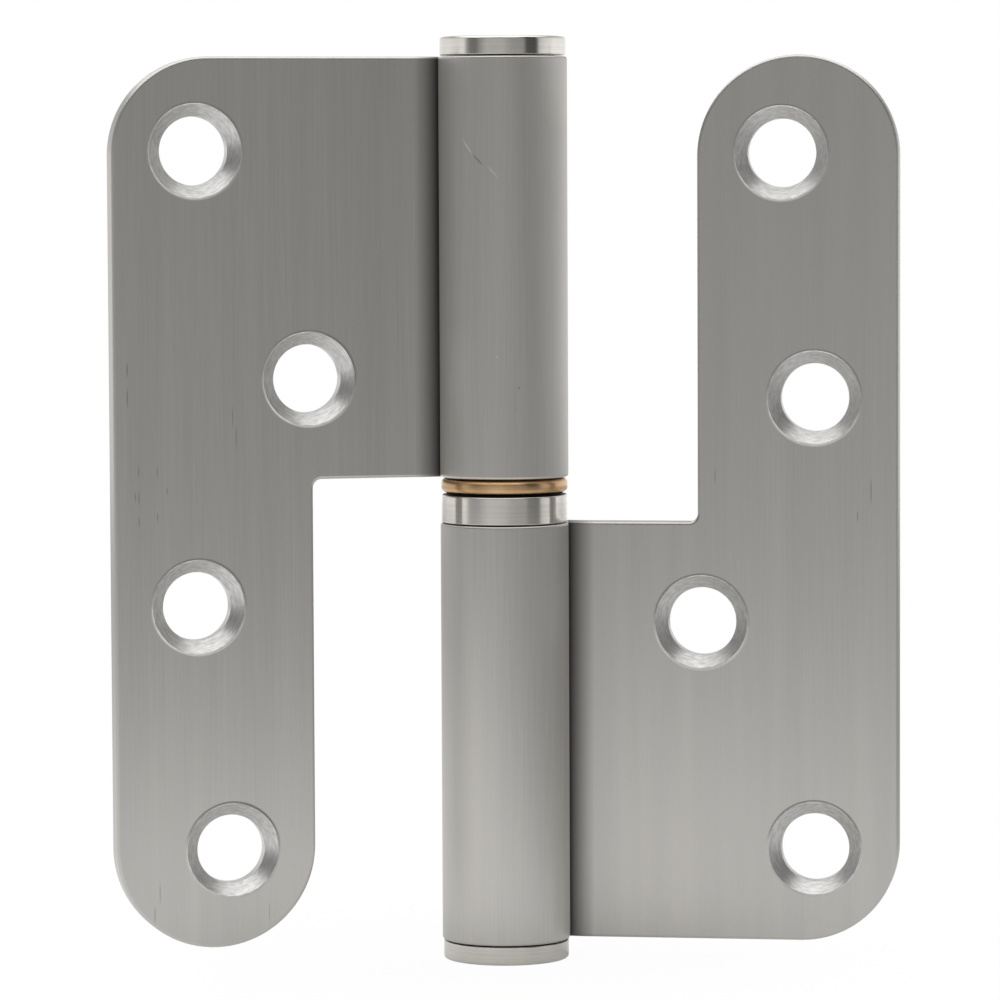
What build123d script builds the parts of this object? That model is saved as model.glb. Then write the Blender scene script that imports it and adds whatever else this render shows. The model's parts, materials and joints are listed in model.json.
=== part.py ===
from build123d import *
from math import acos, asin, degrees, radians, sqrt, tan
import os

# Right-hand lift-off hinge in millimetres, with the origin on the pin axis at mid-height and +Z up the pin.
# The frame leaf lies along +X with its back towards +Y, and the door leaf is folded forward of flat.

# Leaf blank, the same for both leaves
sheet = 3.0  # thickness
leaf_height = 100.0  # along the pin
leaf_reach = 44.5  # pin axis to the outer edge
strip_width = 22.7  # strip that runs past the other leaf's knuckle
corner_radius = 11.0  # outer corner at the knuckle's end
notch_radius = 1.0  # inside corner between the strip and the neck
edge_break = 0.25  # chamfer that breaks the blank's edges

# Rolled knuckle
bore_dia = 8.5  # inside of the roll
set_back = 1.5  # front face behind the pin axis, half the gap between closed leaves
bend_radius = 10.5  # inside of the reverse bend that leads into the roll
seam_gap = 0.2  # between the roll's free end and the sheet that it closes on

# Countersunk screw holes
hole_dia = 7.7
countersink_depth = 1.5
countersink_angle = 90.0
rim_round = 0.25  # worn edge round each countersink
hole_stagger = 1.85  # strip's centre line to the holes on either side of it
corner_hole_drop = 10.5  # knuckle's end of the leaf to the corner hole
neck_hole_reach = 22.2  # pin axis to the neck hole
neck_hole_rise = 11.3  # neck's edge to the neck hole
strip_hole_drop = 14.1  # neck's edge to the strip hole
tip_hole_rise = 11.0  # strip's round tip to the tip hole

# Thrust rings between the knuckles
collar_height = 3.5  # steel ring on the lower knuckle
collar_chamfer = 0.4
washer_height = 1.7  # bronze ring under the upper knuckle
washer_chamfer = 0.35
ring_step = 0.1  # knuckle's surface down to the rings
washer_clearance = 0.1  # washer round the journal, all round

# End plugs
cap_height = 2.2
cap_chamfer = 0.5
cap_step = 0.15  # knuckle's surface down to the plug's head
spigot_length = 8.0  # pressed into the knuckle

# Pin and bush
bush_wall = 1.0
running_clearance = 0.05  # bush round the journal, all round
nose_chamfer = 1.2  # leads the bush on to the pin
lead_chamfer = 0.5  # leads the pressed pieces into their bores
head_room = 4.4  # pin's nose to the top plug
bush_room = 3.0  # bush to the top plug
foot_room = 1.0  # pin's foot to the bottom plug

# Pose: how far the door leaf is folded forward from flat
rest_fold = 22.4

# Sizes that follow
half_height = leaf_height / 2
stack_height = collar_height + washer_height
knuckle_length = (leaf_height - stack_height) / 2
neck_edge = half_height - knuckle_length
knuckle_radius = bore_dia / 2 + sheet
journal_dia = bore_dia - 2 * (bush_wall + running_clearance)
collar_top = collar_height - stack_height / 2
countersink_dia = hole_dia + 2 * countersink_depth * tan(radians(countersink_angle / 2))

# Section of the roll, with x along the leaf and y towards its back, round the pin axis
bend_depth = set_back + sheet + bend_radius
bend_spread = knuckle_radius + bend_radius
bend_start = sqrt(bend_spread**2 - bend_depth**2)
bend_turn = degrees(asin(bend_start / bend_spread))
roll_start = 90 - bend_turn
front_clear = bend_radius + sheet + seam_gap
seam_cosine = (knuckle_radius**2 + bend_spread**2 - front_clear**2) / (2 * knuckle_radius * bend_spread)
roll_sweep = 360 - degrees(acos(seam_cosine))

os.makedirs("parts", exist_ok=True)


def finish(piece, name):
    """Name a finished piece and write it."""
    piece.part.label = name
    export_step(piece.part, f"parts/{name}.step")


def rolled_leaf(face):
    """One leaf, blanked from sheet and rolled into a knuckle about the pin axis.

    face lies through the pin axis at mid-height: its x runs out along the leaf, its y towards the
    knuckle's end and its z to the leaf's back.
    """
    knuckle_end = Plane(face.origin + face.y_dir * half_height, face.x_dir, -face.y_dir)
    front = Plane(face.origin + face.z_dir * set_back, face.x_dir, -face.z_dir)
    tip_radius = strip_width / 2
    strip_centre = leaf_reach - tip_radius
    holes = (
        (strip_centre + hole_stagger, half_height - corner_hole_drop),
        (neck_hole_reach, neck_edge + neck_hole_rise),
        (strip_centre + hole_stagger, neck_edge - strip_hole_drop),
        (strip_centre - hole_stagger, tip_hole_rise - half_height),
    )
    with BuildPart() as leaf:
        # Flat blank
        with BuildSketch(face.offset(set_back)):
            with BuildLine():
                top = Line((bend_start, half_height), (leaf_reach - corner_radius, half_height))
                corner = JernArc(top @ 1, top % 1, corner_radius, -90)
                outer = Line(corner @ 1, (leaf_reach, tip_radius - half_height))
                tip = JernArc(outer @ 1, outer % 1, tip_radius, -180)
                inner = Line(tip @ 1, (leaf_reach - strip_width, neck_edge - notch_radius))
                notch = JernArc(inner @ 1, inner % 1, notch_radius, 90)
                neck = Line(notch @ 1, (bend_start, neck_edge))
                Line(neck @ 1, top @ 0)
            make_face()
        extrude(amount=sheet)
        # Reverse bend and roll
        with BuildSketch(knuckle_end):
            with BuildLine():
                bend_centre = (bend_start, bend_depth)
                back_bend = CenterArc(bend_centre, bend_radius, 270 - bend_turn, bend_turn)
                front_bend = CenterArc(bend_centre, bend_radius + sheet, 270 - bend_turn, bend_turn)
                outside = CenterArc((0, 0), knuckle_radius, roll_start, roll_sweep)
                inside = CenterArc((0, 0), bore_dia / 2, roll_start, roll_sweep)
                Line(outside @ 1, inside @ 1)
                Line(back_bend @ 1, front_bend @ 1)
            make_face()
        extrude(amount=knuckle_length)
        # Broken edges, which run on round the whole blank and the roll
        along_pin = leaf.edges().filter_by(Axis(face.origin, face.y_dir))
        chamfer(along_pin.sort_by(Axis(face.origin, face.x_dir))[-2:], edge_break)
        # Screw holes, sunk into the front
        with Locations(front):
            with Locations([(reach, -height) for reach, height in holes]):
                CounterSinkHole(hole_dia / 2, countersink_dia / 2, counter_sink_angle=countersink_angle)
        rims = leaf.faces().filter_by(face).sort_by(Axis(face.origin, face.z_dir))[0].inner_wires()
        fillet(rims.edges(), rim_round)
    return leaf


def end_plug(seat):
    """One turned plug: a head that covers the knuckle's end and a spigot pressed into its bore."""
    with BuildPart() as plug:
        with BuildSketch(seat):
            Circle(knuckle_radius - cap_step)
        extrude(amount=cap_height)
        outward = Axis(seat.origin, seat.z_dir)
        chamfer(plug.edges().sort_by(outward)[-1], cap_chamfer)
        with BuildSketch(seat):
            Circle(bore_dia / 2)
        extrude(amount=-spigot_length)
        chamfer(plug.edges().sort_by(outward)[0], lead_chamfer)
    return plug


# Leaves
frame_face = Plane((0, 0, 0), x_dir=(1, 0, 0), z_dir=(0, 1, 0))
folded_out = Vector(-1, 0, 0).rotate(Axis.Z, rest_fold)
folded_back = Vector(0, 1, 0).rotate(Axis.Z, rest_fold)
door_face = Plane((0, 0, 0), x_dir=folded_out, z_dir=folded_back)
finish(rolled_leaf(frame_face), "frame_leaf")
finish(rolled_leaf(door_face), "door_leaf")

# End plugs
finish(end_plug(Plane.XY.offset(half_height)), "top_cap")
finish(end_plug(Plane((0, 0, -half_height), z_dir=(0, 0, -1))), "bottom_cap")

# Pin: its shank fills the lower knuckle and its journal stands up through the rings
lower_knuckle_top = Plane.XY.offset(-neck_edge)
shank_length = knuckle_length - spigot_length - foot_room
journal_length = stack_height + knuckle_length - spigot_length - head_room
with BuildPart() as hinge_pin:
    with BuildSketch(lower_knuckle_top):
        Circle(bore_dia / 2)
    extrude(amount=-shank_length)
    with BuildSketch(lower_knuckle_top):
        Circle(journal_dia / 2)
    extrude(amount=journal_length)
    chamfer(hinge_pin.edges().sort_by(Axis.Z)[-1], nose_chamfer)
    chamfer(hinge_pin.edges().sort_by(Axis.Z)[0], lead_chamfer)
finish(hinge_pin, "hinge_pin")

# Steel collar, pressed on the journal and seated on the lower knuckle
with BuildPart() as steel_collar:
    with BuildSketch(lower_knuckle_top):
        Circle(knuckle_radius - ring_step)
        Circle(journal_dia / 2, mode=Mode.SUBTRACT)
    extrude(amount=collar_height)
    chamfer(steel_collar.faces().sort_by(Axis.Z)[-1].outer_wire().edges(), collar_chamfer)
finish(steel_collar, "steel_collar")

# Bronze washer, loose on the journal between the collar and the upper knuckle
with BuildPart() as bronze_washer:
    with BuildSketch(Plane.XY.offset(collar_top)):
        Circle(knuckle_radius - ring_step)
        Circle(journal_dia / 2 + washer_clearance, mode=Mode.SUBTRACT)
    extrude(amount=washer_height)
    ends = bronze_washer.faces().filter_by(Plane.XY)
    chamfer([face.outer_wire().edge() for face in ends], washer_chamfer)
finish(bronze_washer, "bronze_washer")

# Bronze bush, pressed into the upper knuckle
with BuildPart() as bronze_bush:
    with BuildSketch(Plane.XY.offset(neck_edge)):
        Circle(bore_dia / 2)
        Circle(journal_dia / 2 + running_clearance, mode=Mode.SUBTRACT)
    extrude(amount=knuckle_length - spigot_length - bush_room)
    chamfer(bronze_bush.faces().sort_by(Axis.Z)[0].inner_wires().edges(), lead_chamfer)
finish(bronze_bush, "bronze_bush")
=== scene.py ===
import json
from math import acos, asin, cos, pi, radians, sin, sqrt, tan

import bmesh
import bpy
from mathutils import Matrix, Vector

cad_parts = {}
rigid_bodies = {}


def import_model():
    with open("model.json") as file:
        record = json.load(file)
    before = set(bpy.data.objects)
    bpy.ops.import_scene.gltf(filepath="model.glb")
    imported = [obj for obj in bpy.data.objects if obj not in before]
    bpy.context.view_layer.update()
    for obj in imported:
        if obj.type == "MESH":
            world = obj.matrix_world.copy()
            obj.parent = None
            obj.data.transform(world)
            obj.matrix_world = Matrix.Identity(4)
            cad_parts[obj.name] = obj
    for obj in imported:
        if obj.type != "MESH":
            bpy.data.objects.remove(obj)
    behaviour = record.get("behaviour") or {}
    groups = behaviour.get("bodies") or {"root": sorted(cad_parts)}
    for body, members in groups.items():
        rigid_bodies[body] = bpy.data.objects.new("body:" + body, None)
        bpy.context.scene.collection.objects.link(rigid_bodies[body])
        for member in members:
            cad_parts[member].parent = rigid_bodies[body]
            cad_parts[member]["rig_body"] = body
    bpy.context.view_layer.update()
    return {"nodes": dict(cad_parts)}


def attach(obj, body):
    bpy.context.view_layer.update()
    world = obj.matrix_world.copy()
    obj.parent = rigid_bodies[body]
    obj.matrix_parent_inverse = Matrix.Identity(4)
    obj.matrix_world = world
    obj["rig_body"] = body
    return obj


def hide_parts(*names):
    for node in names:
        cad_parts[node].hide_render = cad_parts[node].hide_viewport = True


# Right-hand lift-off hinge: two satin steel leaves rolled into knuckles, turned steel plugs and collar,
# a bronze washer, and inside them the ground pin in its bronze bush.
# Pieces are drawn in millimetres, in the CAD model's frame, and scaled to metres when they are finished.

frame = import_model()

MM = 0.001
weld = 0.001  # points closer than this, in mm, are one point

# Leaf blank
sheet = 3.0
leaf_height = 100.0
leaf_reach = 44.5
strip_width = 22.7
corner_radius = 11.0
notch_radius = 1.0
edge_round = 0.32  # larger than the chamfer of the solids, so that the folded leaf stays inside them

# Rolled knuckle
bore_radius = 4.25
set_back = 1.5
bend_radius = 10.5
seam_gap = 0.2

# Countersunk holes, with their places as reach from the pin axis and height towards the knuckle's end
holes = ((35.0, 39.5), (22.2, 13.9), (35.0, -11.5), (31.3, -39.0))
hole_radius = 3.85
countersink_depth = 1.5
countersink_angle = 90.0
rim_round = 0.2  # rounding at the back of a hole, and flat ring round its countersink
burr = 0.08  # raised edge that the countersink leaves
burr_run = 0.12  # how far out the burr falls to the face
cone_depth = 1.2  # what is left of countersink_depth, because the burr narrows the mouth

# Rings, plugs, pin and bush
collar_height = 3.5
washer_height = 1.7
ring_radius = 7.15
collar_step = 0.28  # open line between the collar and the washer
collar_step_depth = 0.6
collar_round = 0.15
washer_round = 0.55
cap_radius = 7.1
cap_height = 2.2
cap_round = 0.35
spigot_length = 8.0
journal_radius = 3.2
nose_round = 1.2
lead_round = 0.5
pin_top = 37.6
pin_foot = -41.0
bush_top = 39.0
bush_clearance = 0.05
washer_clearance = 0.1
turned_edge = 0.08  # broken edges of the turned pieces
joint_gap = 0.12  # shadow line where one piece sits on the next

# How far the door leaf is folded forward from flat
rest_fold = radians(22.4)

# Worn marks along the grain, as reach from the pin axis, height up the pin, half width and half length
door_marks = (
    (42.9, 15.2, 0.10, 1.1),
    (42.9, 12.1, 0.10, 1.4),
    (31.0, 9.8, 0.06, 1.6),
    (30.6, 7.4, 0.06, 1.6),
    (41.7, 3.9, 0.08, 0.8),
    (39.6, 3.8, 0.08, 0.9),
    (41.7, 0.8, 0.08, 0.9),
    (42.1, 1.0, 0.07, 0.8),
    (38.5, 1.6, 0.07, 0.6),
    (41.7, -1.8, 0.07, 0.7),
    (39.6, -1.3, 0.08, 0.7),
    (39.7, -43.6, 0.07, 1.6),
    (40.3, -46.0, 0.08, 1.2),
    (27.2, -46.2, 0.05, 1.4),
)
frame_marks = (
    (41.4, 1.0, 0.09, 1.9),
    (39.9, -1.8, 0.09, 0.8),
    (23.8, 2.7, 0.07, 1.1),
)
# Scratch and pits in the upper knuckle, as degrees from the front, height, lean, half width and half length
# These are real marks; their bright parts are a painted highlight
dents_with_painted_highlight = (
    (-25.0, 39.8, -38.0, 0.16, 1.3),
    (-1.0, 37.0, -42.0, 0.10, 1.2),
    (2.0, 16.4, 0.0, 0.16, 0.16),
)
# These are real marks; their dark parts are painted shade
dents_with_painted_shade = (
    (-15.0, 38.4, -45.0, 0.13, 1.2),
    (21.5, 12.9, -20.0, 0.14, 0.2),
)
mark_reach = 2.0  # how far below the surface a mark still counts
mark_full = 0.6  # how deep in a mark, from 0 at its edge to 1, it shows in full

# Painted shade in the hollow beside the knuckle
hollow_limit = 0.02  # beyond the knuckle's surface, where the hollow begins
hollow_near = 0.1  # beyond the knuckle's surface, up to where it is darkest
hollow_far = 0.6  # beyond the start of the bend, where it ends

# Smoothness of the curves
arc_step = radians(3.75)
round_segments = 4
turned_steps = 128
hole_steps = 72

# Sizes that follow
half_height = leaf_height / 2
neck_edge = (collar_height + washer_height) / 2
collar_top = collar_height - neck_edge
knuckle_radius = bore_radius + sheet
bend_depth = set_back + sheet + bend_radius
bend_spread = knuckle_radius + bend_radius
bend_start = sqrt(bend_spread**2 - bend_depth**2)
bend_turn = asin(bend_start / bend_spread)
front_clear = bend_radius + sheet + seam_gap
seam_turn = acos((knuckle_radius**2 + bend_spread**2 - front_clear**2) / (2 * knuckle_radius * bend_spread))
roll_sweep = 2 * pi - seam_turn
countersink_radius = hole_radius + countersink_depth * tan(radians(countersink_angle / 2))


def linear(hex_colour):
    """An sRGB hex colour as linear red, green, blue and alpha."""
    channels = [int(hex_colour[i : i + 2], 16) / 255 for i in (1, 3, 5)]
    return [c / 12.92 if c <= 0.04045 else ((c + 0.055) / 1.055) ** 2.4 for c in channels] + [1.0]


def add(tree, kind, inputs=None, **settings):
    """Add a node with its settings; an input is a value, or a socket to link from."""
    node = tree.nodes.new("ShaderNode" + kind)
    for name, value in settings.items():
        setattr(node, name, value)
    for name, value in (inputs or {}).items():
        if isinstance(value, bpy.types.NodeSocket):
            tree.links.new(value, node.inputs[name])
        else:
            node.inputs[name].default_value = value
    return node


def blank_material(name):
    """A material with an empty node tree."""
    material = bpy.data.materials.new(name)
    material.use_nodes = True
    material.node_tree.nodes.clear()
    return material, material.node_tree


def from_pin(tree, place):
    """How far a point lies from the pin axis, and its height along it."""
    split = add(tree, "SeparateXYZ", {"Vector": place})
    level = add(tree, "CombineXYZ", {"X": split.outputs["X"], "Y": split.outputs["Y"]})
    reach = add(tree, "VectorMath", {0: level.outputs[0]}, operation="LENGTH")
    return reach.outputs["Value"], split.outputs["Z"]


def dents(tree, place, marks):
    """How deep a point lies in any of the marks: 1 in the middle, 0 outside.

    A mark is its point on the surface, how far it turns from the front and leans, and its half width and
    half length.
    """
    deepest = 0.0
    for point, turn, lean, half_width, half_length in marks:
        inside = add(
            tree,
            "Mapping",
            {
                "Vector": place,
                "Location": [value * MM for value in point],
                "Rotation": (0.0, lean, turn),
                "Scale": (half_width * MM, mark_reach * MM, half_length * MM),
            },
            vector_type="TEXTURE",
        )
        depth = add(tree, "TexGradient", {"Vector": inside.outputs[0]}, gradient_type="SPHERICAL")
        deepest = add(tree, "Math", {0: depth.outputs["Fac"], 1: deepest}, operation="MAXIMUM").outputs[0]
    return deepest


def on_leaf(fold, side, marks):
    """Marks on the front of a leaf that is folded forward and lies to one side of the pin."""
    for reach, height, half_width, half_length in marks:
        x, y = side * reach, set_back
        point = (x * cos(fold) - y * sin(fold), x * sin(fold) + y * cos(fold), height)
        yield point, fold, 0.0, half_width, half_length


def on_knuckle(marks):
    """Marks on the knuckle's surface."""
    for turn, height, lean, half_width, half_length in marks:
        point = (knuckle_radius * sin(radians(turn)), -knuckle_radius * cos(radians(turn)), height)
        yield point, radians(turn), radians(lean), half_width, half_length


def satin_steel():
    """Stainless sheet, brushed along the pin with a fine belt.

    The lines spread reflections sideways and leave them sharp along the grain, so a leaf shows the studio
    as one soft upright gradient with faint streaks in it.
    """
    material, tree = blank_material("satin_stainless_steel")
    place = add(tree, "TexCoord").outputs["Object"]
    # Belt lines are about 0.06 mm wide; they are drawn at 0.2 mm so that they show
    line, run, line_depth = 0.2 * MM, 14 * MM, 0.01 * MM
    grain_place = add(tree, "Mapping", {"Vector": place, "Scale": (1 / line, 1 / line, 1 / run)})
    grain = add(
        tree,
        "TexNoise",
        {"Vector": grain_place.outputs[0], "Scale": 1.0, "Detail": 4.0, "Roughness": 0.65},
    )
    # Passes of the belt, a few mm wide
    band, pass_length, pass_weight = 2.5 * MM, 60 * MM, 0.6
    pass_place = add(tree, "Mapping", {"Vector": place, "Scale": (1 / band, 1 / band, 1 / pass_length)})
    passes = add(tree, "TexNoise", {"Vector": pass_place.outputs[0], "Scale": 1.0, "Detail": 2.0})
    streaks = add(
        tree,
        "Math",
        {0: passes.outputs["Fac"], 1: pass_weight, 2: grain.outputs["Fac"]},
        operation="MULTIPLY_ADD",
    )
    tone = add(tree, "MapRange", {"Value": streaks.outputs[0], "From Min": 0.55, "From Max": 1.05})
    brushed = add(
        tree, "Mix", {0: tone.outputs[0], 6: linear("#C7C5C1"), 7: linear("#D4D1CC")}, data_type="RGBA"
    )
    # Marks of handling rubbed dark along the grain, and a scratch and pits in the knuckle: real marks, with
    # painted shade on their dark parts and a painted highlight on their bright sides
    rubbed_marks_and_dent_shade = dents(
        tree,
        place,
        [*on_leaf(rest_fold, -1, door_marks), *on_leaf(0.0, 1, frame_marks), *on_knuckle(dents_with_painted_shade)],
    )
    rubbed_and_dent_shade = add(tree, "MapRange", {"Value": rubbed_marks_and_dent_shade, "From Max": mark_full, "To Max": 0.45})
    # Dark grey of the rubbed marks, which is also the painted shade in the scratch and pits
    marked_and_shaded = add(
        tree, "Mix", {0: rubbed_and_dent_shade.outputs[0], 6: brushed.outputs[2], 7: linear("#5C5A57")}, data_type="RGBA"
    )
    # Near-white painted highlight on the bright sides of the scratch and pits
    painted_dent_highlights = dents(tree, place, on_knuckle(dents_with_painted_highlight))
    painted_scratch_highlight = add(tree, "MapRange", {"Value": painted_dent_highlights, "From Max": mark_full, "To Max": 0.6})
    worn_and_highlighted = add(
        tree, "Mix", {0: painted_scratch_highlight.outputs[0], 6: marked_and_shaded.outputs[2], 7: linear("#F6F5F2")}, data_type="RGBA"
    )
    # Painted shade in the hollow beside the knuckle: the sheet is darkened from just beyond the knuckle to
    # a little past the start of the bend
    reach, _ = from_pin(tree, place)
    hollow = add(
        tree,
        "MapRange",
        {
            "Value": reach,
            "From Min": (knuckle_radius + hollow_near) * MM,
            "From Max": (bend_start + hollow_far) * MM,
            "To Min": 0.8,
            "To Max": 0.0,
        },
    )
    beside = add(
        tree, "Math", {0: reach, 1: (knuckle_radius + hollow_limit) * MM}, operation="GREATER_THAN"
    )
    painted_hollow_shade = add(tree, "Math", {0: hollow.outputs[0], 1: beside.outputs[0]}, operation="MULTIPLY")
    # Near-black painted shade, mixed in up to 0.8 in the hollow
    colour = add(
        tree, "Mix", {0: painted_hollow_shade.outputs[0], 6: worn_and_highlighted.outputs[2], 7: linear("#141413")}, data_type="RGBA"
    )
    roughness = add(
        tree,
        "MapRange",
        {"Value": grain.outputs["Fac"], "From Min": 0.3, "From Max": 0.7, "To Min": 0.36, "To Max": 0.42},
    )
    relief = add(tree, "Bump", {"Height": grain.outputs["Fac"], "Strength": 0.15, "Distance": line_depth})
    # The wide way of the highlight is level, across the lines. The lines are taken a little off upright, so
    # that a level face has a direction too
    grain_way = (0.01, 0.02, 1.0)
    normal = add(tree, "NewGeometry").outputs["Normal"]
    across = add(tree, "VectorMath", {0: normal, 1: grain_way}, operation="CROSS_PRODUCT")
    shader = add(
        tree,
        "BsdfPrincipled",
        {
            "Base Color": colour.outputs[2],
            "Metallic": 1.0,
            "Roughness": roughness.outputs[0],
            "Anisotropic": 0.95,
            "Tangent": across.outputs[0],
            "Normal": relief.outputs[0],
        },
    )
    add(tree, "OutputMaterial", {"Surface": shader.outputs[0]})
    return material


def countersunk_steel(node, fold):
    """Countersinks cut after the brushing, in a leaf that is folded forward.

    They look brighter than the leaf, with fine rings from the tool.
    """
    material, tree = blank_material("countersunk_stainless_steel_" + node)
    place = add(tree, "TexCoord").outputs["Object"]
    # Tool rings lie level with the leaf, so they are thin in its depth; they are about 0.05 mm wide and
    # drawn at 0.14 mm so that they show
    ring, run = 0.14 * MM, 0.8 * MM
    ring_place = add(
        tree,
        "Mapping",
        {"Vector": place, "Rotation": (0.0, 0.0, fold), "Scale": (run, ring, run)},
        vector_type="TEXTURE",
    )
    rings = add(tree, "TexNoise", {"Vector": ring_place.outputs[0], "Scale": 1.0, "Detail": 2.0})
    tone = add(tree, "MapRange", {"Value": rings.outputs["Fac"], "From Min": 0.35, "From Max": 0.65})
    colour = add(
        tree, "Mix", {0: tone.outputs[0], 6: linear("#C5C4C2"), 7: linear("#DEDDDB")}, data_type="RGBA"
    )
    roughness = add(tree, "MapRange", {"Value": tone.outputs[0], "To Min": 0.42, "To Max": 0.36})
    shader = add(
        tree,
        "BsdfPrincipled",
        {"Base Color": colour.outputs[2], "Metallic": 1.0, "Roughness": roughness.outputs[0]},
    )
    add(tree, "OutputMaterial", {"Surface": shader.outputs[0]})
    return material


def turned_metal(name, dark, light, smooth, rough, ring):
    """A metal turned about the pin axis, with tool rings of a width in mm.

    The rings spread reflections up and down and leave them sharp round the piece.
    """
    material, tree = blank_material(name)
    stain, ring_depth = 3 * MM, 0.01 * MM
    place = add(tree, "TexCoord").outputs["Object"]
    reach, height = from_pin(tree, place)
    ring_place = add(tree, "CombineXYZ", {"X": reach, "Z": height})
    rings = add(
        tree, "TexNoise", {"Vector": ring_place.outputs[0], "Scale": 1 / (ring * MM), "Detail": 3.0}
    )
    stains = add(tree, "TexNoise", {"Vector": place, "Scale": 1 / stain, "Detail": 4.0})
    wear = add(tree, "Math", {0: rings.outputs["Fac"], 1: stains.outputs["Fac"]}, operation="ADD")
    tone = add(tree, "MapRange", {"Value": wear.outputs[0], "From Min": 0.7, "From Max": 1.3})
    colour = add(
        tree, "Mix", {0: tone.outputs[0], 6: linear(dark), 7: linear(light)}, data_type="RGBA"
    )
    roughness = add(tree, "MapRange", {"Value": tone.outputs[0], "To Min": rough, "To Max": smooth})
    relief = add(tree, "Bump", {"Height": rings.outputs["Fac"], "Strength": 0.1, "Distance": ring_depth})
    # The wide way of the highlight runs across the rings
    along = add(tree, "VectorMath", {0: (0.0, 0.0, 1.0), 1: place}, operation="CROSS_PRODUCT")
    normal = add(tree, "NewGeometry").outputs["Normal"]
    across = add(tree, "VectorMath", {0: normal, 1: along.outputs[0]}, operation="CROSS_PRODUCT")
    shader = add(
        tree,
        "BsdfPrincipled",
        {
            "Base Color": colour.outputs[2],
            "Metallic": 1.0,
            "Roughness": roughness.outputs[0],
            "Anisotropic": 0.7,
            "Tangent": across.outputs[0],
            "Normal": relief.outputs[0],
        },
    )
    add(tree, "OutputMaterial", {"Surface": shader.outputs[0]})
    return material


def painted_gap_shade():
    """Painted shade in the open line between the rings: a near-black finish on the collar's step, which
    reads as a black line.
    """
    material, tree = blank_material("painted_gap_shade_dark")
    shader = add(tree, "BsdfPrincipled", {"Base Color": linear("#1C1916"), "Roughness": 0.55})
    add(tree, "OutputMaterial", {"Surface": shader.outputs[0]})
    return material


# Finishes of the pieces
leaf_finish = satin_steel()
gap_shade_finish = painted_gap_shade()
# Polished on the lathe: near mirror round the piece, with the studio's edges as upright stripes
turned_finish = turned_metal("turned_stainless_steel", "#D0CDC8", "#DEDAD3", 0.12, 0.2, 0.15)
# Ground between wheels: even and a little duller
ground_finish = turned_metal("ground_bearing_steel", "#C5C5C5", "#D5D5D3", 0.26, 0.34, 0.1)
# Cast bearing bronze, turned: golden brown, browner where it has been handled
bronze_finish = turned_metal("turned_bearing_bronze", "#B28F69", "#DFB98D", 0.24, 0.36, 0.2)


def finish_piece(bm, node, *finishes):
    """Make the piece that stands for a CAD node, from a mesh drawn in millimetres."""
    bmesh.ops.remove_doubles(bm, verts=bm.verts, dist=weld)
    bmesh.ops.recalc_face_normals(bm, faces=bm.faces)
    bmesh.ops.scale(bm, vec=(MM, MM, MM), verts=bm.verts)
    mesh = bpy.data.meshes.new(node + "_finished")
    bm.to_mesh(mesh)
    bm.free()
    for finish in finishes:
        mesh.materials.append(finish)
    piece = bpy.data.objects.new(mesh.name, mesh)
    bpy.context.scene.collection.objects.link(piece)
    # Large faces keep their own normals, so that only the rounded edges look round
    piece.modifiers.new("face_normals", "WEIGHTED_NORMAL").keep_sharp = True
    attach(piece, frame["nodes"][node]["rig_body"])
    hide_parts(node)


def lying(items, axis, level):
    """The edges, or the faces, that lie whole at a level along an axis."""
    return [item for item in items if all(abs(vert.co[axis] - level) < weld for vert in item.verts)]


def round_off(bm, items, offset, affect):
    """Round corners of a wire, or edges of a body."""
    bmesh.ops.bevel(
        bm,
        geom=items,
        offset=offset,
        offset_type="OFFSET",
        segments=round_segments,
        profile=0.5,
        affect=affect,
        material=-1,
    )


def trace(bm, start, strokes):
    """Draw a wire: a stroke is a point to draw to, or a centre and how far to turn about it."""
    tip = bm.verts.new(start)
    for target, turn in strokes:
        if turn:
            steps = round(abs(turn) / arc_step)
            arc = bmesh.ops.spin(bm, geom=[tip], cent=target, axis=(0, 0, 1), angle=turn, steps=steps)
            tip = next(item for item in arc["geom_last"] if isinstance(item, bmesh.types.BMVert))
        else:
            tip = bmesh.ops.extrude_vert_indiv(bm, verts=[tip])["verts"][0]
            tip.co = target


def lathe(bm, points, steps, centre=(0.0, 0.0), closed=False):
    """Spin a wire about an axis along z, and give its faces.

    The wire runs through (radius, height, rounding of the corner) points.
    """
    old_verts, old_faces = set(bm.verts), set(bm.faces)
    x, y = centre
    corners = [bm.verts.new((x + radius, y, height)) for radius, height, _ in points]
    following = corners[1:] + corners[:1] if closed else corners[1:]
    for pair in zip(corners, following):
        bm.edges.new(pair)
    for corner, (_, _, rounding) in zip(corners, points):
        if rounding:
            round_off(bm, [corner], rounding, "VERTICES")
    wire = [vert for vert in bm.verts if vert not in old_verts]
    edges = {edge for vert in wire for edge in vert.link_edges}
    bmesh.ops.spin(
        bm,
        geom=[*wire, *edges],
        cent=(x, y, 0),
        axis=(0, 0, 1),
        angle=2 * pi,
        steps=steps,
        use_merge=True,
    )
    made = [face for face in bm.faces if face not in old_faces]
    for face in made:
        face.smooth = True
    return made


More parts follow.
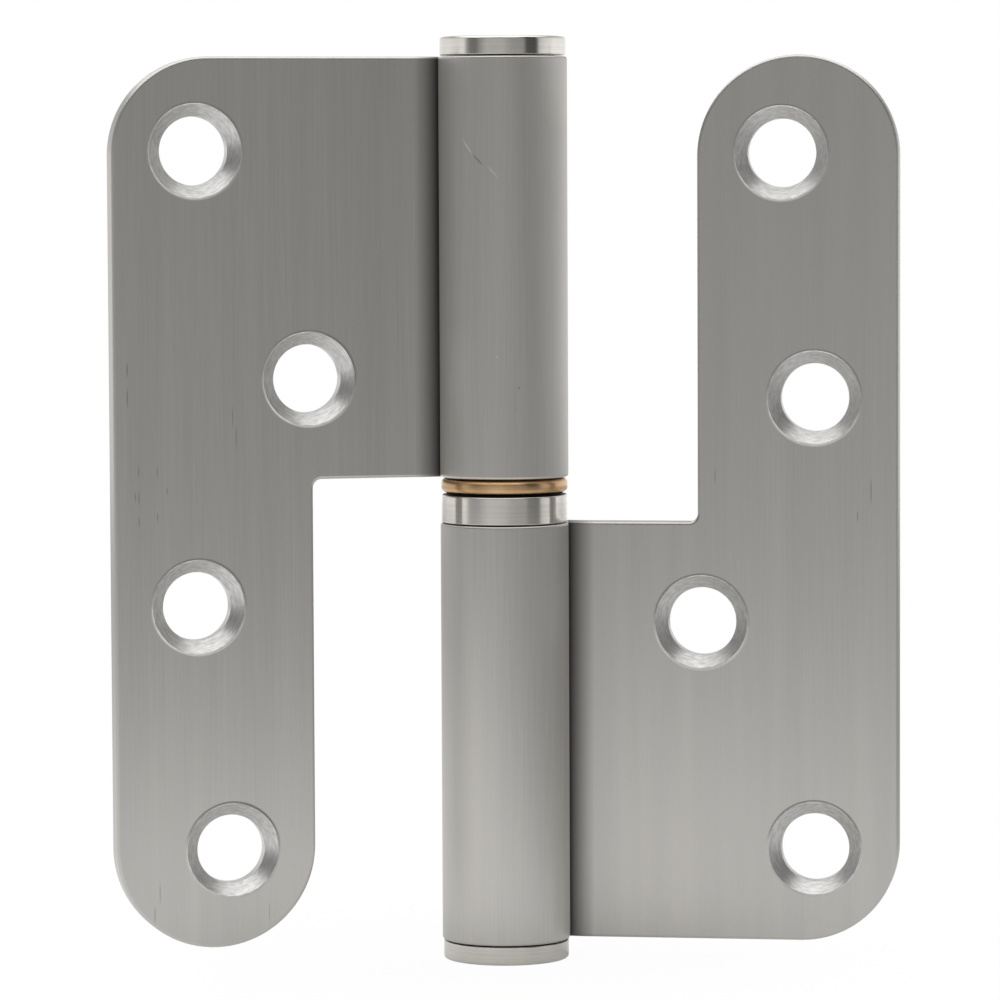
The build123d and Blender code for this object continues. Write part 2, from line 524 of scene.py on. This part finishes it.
def rolled_leaf(node, out, up, fold):
    """Make one leaf.

    It is drawn with x out from the pin axis, y towards the knuckle's end and z to the leaf's back.
    """
    bm = bmesh.new()
    front, back = set_back, set_back + sheet
    tip_radius = strip_width / 2
    strip_inner = leaf_reach - strip_width
    quarter = pi / 2
    # Blank, drawn on the front and raised to the sheet's thickness
    trace(
        bm,
        (bend_start, half_height, front),
        (
            ((leaf_reach - corner_radius, half_height, front), 0),
            ((leaf_reach - corner_radius, half_height - corner_radius, front), -quarter),
            ((leaf_reach, tip_radius - half_height, front), 0),
            ((leaf_reach - tip_radius, tip_radius - half_height, front), -2 * quarter),
            ((strip_inner, neck_edge - notch_radius, front), 0),
            ((strip_inner - notch_radius, neck_edge - notch_radius, front), quarter),
            ((bend_start, neck_edge, front), 0),
            ((bend_start, half_height, front), 0),
        ),
    )
    bmesh.ops.remove_doubles(bm, verts=bm.verts, dist=weld)
    blank = bmesh.ops.contextual_create(bm, geom=bm.edges[:])["faces"]
    raised = bmesh.ops.extrude_face_region(bm, geom=blank)["geom"]
    raised_verts = [item for item in raised if isinstance(item, bmesh.types.BMVert)]
    bmesh.ops.translate(bm, vec=(0, 0, sheet), verts=raised_verts)
    # Rounded edges, all but where the bend goes on
    outline = {*lying(bm.edges, 2, front), *lying(bm.edges, 2, back)} - {*lying(bm.edges, 0, bend_start)}
    round_off(bm, list(outline), edge_round, "EDGES")
    for face in bm.faces:
        face.smooth = True
    opened = [*lying(bm.faces, 2, front), *lying(bm.faces, 2, back), *lying(bm.faces, 0, bend_start)]
    bmesh.ops.delete(bm, geom=opened, context="FACES_ONLY")
    # Screw holes, sunk into the front
    for hole in holes:
        cut = lathe(
            bm,
            (
                (countersink_radius + rim_round, front, 0),
                (countersink_radius, front, 0),
                (countersink_radius - burr_run, front - burr, burr / 2),
                (hole_radius, front + cone_depth, turned_edge),
                (hole_radius, back, rim_round),
                (hole_radius + 2 * rim_round, back, 0),
            ),
            hole_steps,
            centre=hole,
        )
        for face in cut:
            inside = Vector(hole) - face.calc_center_median().xy
            face.material_index = int(inside.length < countersink_radius)
    # Flat faces round the holes
    for level in (front, back):
        rims = [edge for edge in lying(bm.edges, 2, level) if len(edge.link_faces) < 2]
        bmesh.ops.triangle_fill(bm, edges=rims, use_beauty=True, normal=(0, 0, 1))
    # Reverse bend and roll
    turns = (
        ((bend_start, 0, bend_depth), (0, 1, 0), bend_turn),
        ((0, 0, 0), (0, -1, 0), roll_sweep),
    )
    section = lying(bm.edges, 0, bend_start)
    section += list({vert for edge in section for vert in edge.verts})
    old_faces = set(bm.faces)
    for centre, axis, turn in turns:
        steps = round(turn / arc_step)
        swept = bmesh.ops.spin(bm, geom=section, cent=centre, axis=axis, angle=turn, steps=steps)
        section = swept["geom_last"]
    for face in bm.faces:
        if face not in old_faces:
            face.smooth = True
    bmesh.ops.contextual_create(bm, geom=[item for item in section if isinstance(item, bmesh.types.BMEdge)])
    out, up = Vector(out), Vector(up)
    placed = Matrix((out, up, out.cross(up))).transposed().to_4x4()
    bmesh.ops.transform(bm, matrix=placed, verts=bm.verts)
    finish_piece(bm, node, leaf_finish, countersunk_steel(node, fold))


def turned_piece(node, points, *finishes, closed=False, step=None):
    """Make one piece, turned about the pin axis from (radius, height, rounding) points.

    A second finish covers what lies inside a step's radius and above its height.
    """
    bm = bmesh.new()
    made = lathe(bm, points, turned_steps, closed=closed)
    if step:
        step_radius, step_height = step
        for face in made:
            centre = face.calc_center_median()
            face.material_index = int(centre.xy.length < step_radius and centre.z > step_height)
    finish_piece(bm, node, *finishes)


rolled_leaf("frame_leaf", (1, 0, 0), (0, 0, -1), 0.0)
rolled_leaf("door_leaf", (-cos(rest_fold), -sin(rest_fold), 0), (0, 0, 1), rest_fold)

for node, way in (("top_cap", 1), ("bottom_cap", -1)):
    turned_piece(
        node,
        (
            (0, way * (half_height + cap_height), 0),
            (cap_radius, way * (half_height + cap_height), cap_round),
            (cap_radius, way * (half_height + joint_gap), turned_edge),
            (bore_radius, way * (half_height + joint_gap), 0),
            (bore_radius, way * (half_height - spigot_length), lead_round),
            (0, way * (half_height - spigot_length), 0),
        ),
        turned_finish,
    )
turned_piece(
    "steel_collar",
    (
        (journal_radius, joint_gap - neck_edge, 0),
        (ring_radius, joint_gap - neck_edge, turned_edge),
        (ring_radius, collar_top - collar_step, collar_round),
        (ring_radius - collar_step_depth, collar_top - collar_step, 0),
        (ring_radius - collar_step_depth, collar_top, 0),
        (journal_radius, collar_top, 0),
    ),
    turned_finish,
    # Near-black painted shade on the collar's step, in the open line under the washer
    gap_shade_finish,
    closed=True,
    step=(ring_radius - collar_round, collar_top - collar_step - weld),
)
turned_piece(
    "bronze_washer",
    (
        (journal_radius + washer_clearance, collar_top, turned_edge),
        (ring_radius, collar_top, washer_round),
        (ring_radius, neck_edge - joint_gap, washer_round),
        (journal_radius + washer_clearance, neck_edge - joint_gap, turned_edge),
    ),
    bronze_finish,
    closed=True,
)
turned_piece(
    "hinge_pin",
    (
        (0, pin_top, 0),
        (journal_radius, pin_top, nose_round),
        (journal_radius, -neck_edge, 0),
        (bore_radius, -neck_edge, turned_edge),
        (bore_radius, pin_foot, lead_round),
        (0, pin_foot, 0),
    ),
    ground_finish,
)
turned_piece(
    "bronze_bush",
    (
        (journal_radius + bush_clearance, neck_edge, lead_round),
        (bore_radius, neck_edge, turned_edge),
        (bore_radius, bush_top, turned_edge),
        (journal_radius + bush_clearance, bush_top, turned_edge),
    ),
    bronze_finish,
    closed=True,
)

# Camera at the photograph's place
scene = bpy.context.scene
camera_turn = radians(8.14)
camera_tilt = 0.065
camera_roll = 0.0046
lens = bpy.data.cameras.new("camera")
lens.sensor_width = 36.0
lens.lens = 183.85
camera = bpy.data.objects.new("camera", lens)
camera.location = (0.0814, -0.5715, 0.0375)
camera.rotation_euler = (pi / 2 - camera_tilt, camera_roll, camera_turn)
scene.collection.objects.link(camera)
scene.camera = camera

# Pale floor under the lower plug, with places and sizes in metres
floor_level = -(half_height + cap_height) * MM
floor_size = 1.3
pool_centre = (-0.13, -0.06, floor_level)
pool_stretch = (1.0, 1.7, 1.0)
pool_near, pool_far = 0.05, 0.40
pool_light, room_light = 1.04, 0.43
foot_near, foot_far = 0.015, 0.06


def pale_floor():
    """Floor paint: white to the camera, and to the metal an oval pool of light round the hinge."""
    material, tree = blank_material("pale_floor")
    path = add(tree, "LightPath")
    to_camera = path.outputs["Is Camera Ray"]
    shiny = add(
        tree,
        "Math",
        {0: path.outputs["Is Glossy Ray"], 1: path.outputs["Is Transmission Ray"]},
        operation="MAXIMUM",
    )
    seen = add(tree, "Math", {0: to_camera, 1: shiny.outputs[0]}, operation="MAXIMUM")
    place = add(tree, "TexCoord").outputs["Object"]
    in_pool = add(
        tree,
        "Mapping",
        {"Vector": place, "Location": pool_centre, "Scale": pool_stretch},
        vector_type="TEXTURE",
    )
    away = add(tree, "VectorMath", {0: in_pool.outputs[0]}, operation="LENGTH")
    pool = add(
        tree,
        "MapRange",
        {
            "Value": away.outputs["Value"],
            "From Min": pool_near,
            "From Max": pool_far,
            "To Min": pool_light,
            "To Max": room_light,
        },
        interpolation_type="SMOOTHSTEP",
    )
    strength = add(tree, "Math", {0: to_camera, 1: pool.outputs[0]}, operation="MAXIMUM")
    glow = add(tree, "Emission", {"Strength": strength.outputs[0]})
    paint = add(tree, "BsdfDiffuse", {"Color": linear("#DEDEDC")})
    # Near the hinge some of the floor stays paint, which keeps the hinge's shadow
    contact = add(tree, "MapRange", {"Value": to_camera, "To Min": 0.25, "To Max": 0.97})
    from_foot = add(tree, "VectorMath", {0: place, 1: (0.0, 0.0, floor_level)}, operation="DISTANCE")
    open_floor = add(
        tree,
        "MapRange",
        {
            "Value": from_foot.outputs["Value"],
            "From Min": foot_near,
            "From Max": foot_far,
            "To Min": contact.outputs[0],
            "To Max": 1.0,
        },
    )
    share = add(tree, "Math", {0: seen.outputs[0], 1: open_floor.outputs[0]}, operation="MULTIPLY")
    mixed = add(tree, "MixShader", {0: share.outputs[0], 1: paint.outputs[0], 2: glow.outputs[0]})
    add(tree, "OutputMaterial", {"Surface": mixed.outputs[0]})
    return material


bm = bmesh.new()
bmesh.ops.create_grid(bm, x_segments=1, y_segments=1, size=floor_size / 2)
bmesh.ops.translate(bm, vec=(0, 0, floor_level), verts=bm.verts)
floor_mesh = bpy.data.meshes.new("floor")
bm.to_mesh(floor_mesh)
bm.free()
floor_mesh.materials.append(pale_floor())
floor = bpy.data.objects.new("floor", floor_mesh)
scene.collection.objects.link(floor)

# Brightness of the studio's walls, by degrees to the right of the camera
studio = (
    (-180, 1.15),
    (-76, 1.15),
    (-68, 0.45),
    (-62, 0.26),
    (-50, 0.22),
    (-40, 0.45),
    (-30, 0.64),
    (0, 0.64),
    (14, 0.48),
    (38, 0.43),
    (45, 0.11),
    (65, 0.10),
    (72, 0.88),
    (86, 1.12),
    (112, 1.38),
    (180, 1.15),
)

# Studio: white to the camera; the metal sees a white backdrop behind and beside it, and a dim room in front
world = bpy.data.worlds.new("studio")
scene.world = world
world.use_nodes = True
tree = world.node_tree
tree.nodes.clear()
look = add(tree, "TexCoord").outputs["Generated"]
turned = add(tree, "VectorRotate", {"Vector": look, "Angle": pi - camera_turn}, rotation_type="Z_AXIS")
sides = add(tree, "SeparateXYZ", {"Vector": turned.outputs[0]})
azimuth = add(tree, "Math", {0: sides.outputs["X"], 1: sides.outputs["Y"]}, operation="ARCTAN2")
along = add(tree, "MapRange", {"Value": azimuth.outputs[0], "From Min": pi, "From Max": -pi})
walls = add(tree, "ValToRGB", {"Fac": along.outputs[0]})
stops = [((angle + 180) / 360, level) for angle, level in studio]
ramp = walls.color_ramp.elements
for position, _ in stops[1:-1]:
    ramp.new(position)
for element, (position, level) in zip(ramp, stops):
    element.position = position
    element.color = (level, level, level, 1.0)
path = add(tree, "LightPath")
clear = add(
    tree,
    "Math",
    {0: path.outputs["Is Camera Ray"], 1: path.outputs["Is Transmission Ray"]},
    operation="MAXIMUM",
)
# The walls are lit from below and dim upwards
climb = add(
    tree,
    "MapRange",
    {"Value": sides.outputs["Z"], "From Min": -0.06, "From Max": 0.04, "To Min": 1.05, "To Max": 0.8},
)
ceiling = add(
    tree,
    "MapRange",
    {"Value": sides.outputs["Z"], "From Min": 0.05, "From Max": 0.6, "To Min": 1.0, "To Max": 0.55},
)
fade = add(tree, "Math", {0: climb.outputs[0], 1: ceiling.outputs[0]}, operation="MULTIPLY")
room = add(tree, "Background", {"Color": walls.outputs["Color"], "Strength": fade.outputs[0]})
white = add(tree, "Background", {"Color": (1.0, 1.0, 1.0, 1.0)})
mixed = add(tree, "MixShader", {0: clear.outputs[0], 1: room.outputs[0], 2: white.outputs[0]})
add(tree, "OutputWorld", {"Surface": mixed.outputs[0]})

# Soft box overhead, in metres
box_size = 1.0
box_radiance = 1.35
box_place = (-0.08, -0.1, 0.6)
box = bpy.data.lights.new("overhead_soft_box", "AREA")
box.size = box_size
box.energy = box_radiance * pi * box_size**2
overhead = bpy.data.objects.new("overhead_soft_box", box)
overhead.location = box_place
scene.collection.objects.link(overhead)

scene.view_settings.view_transform = "Standard"
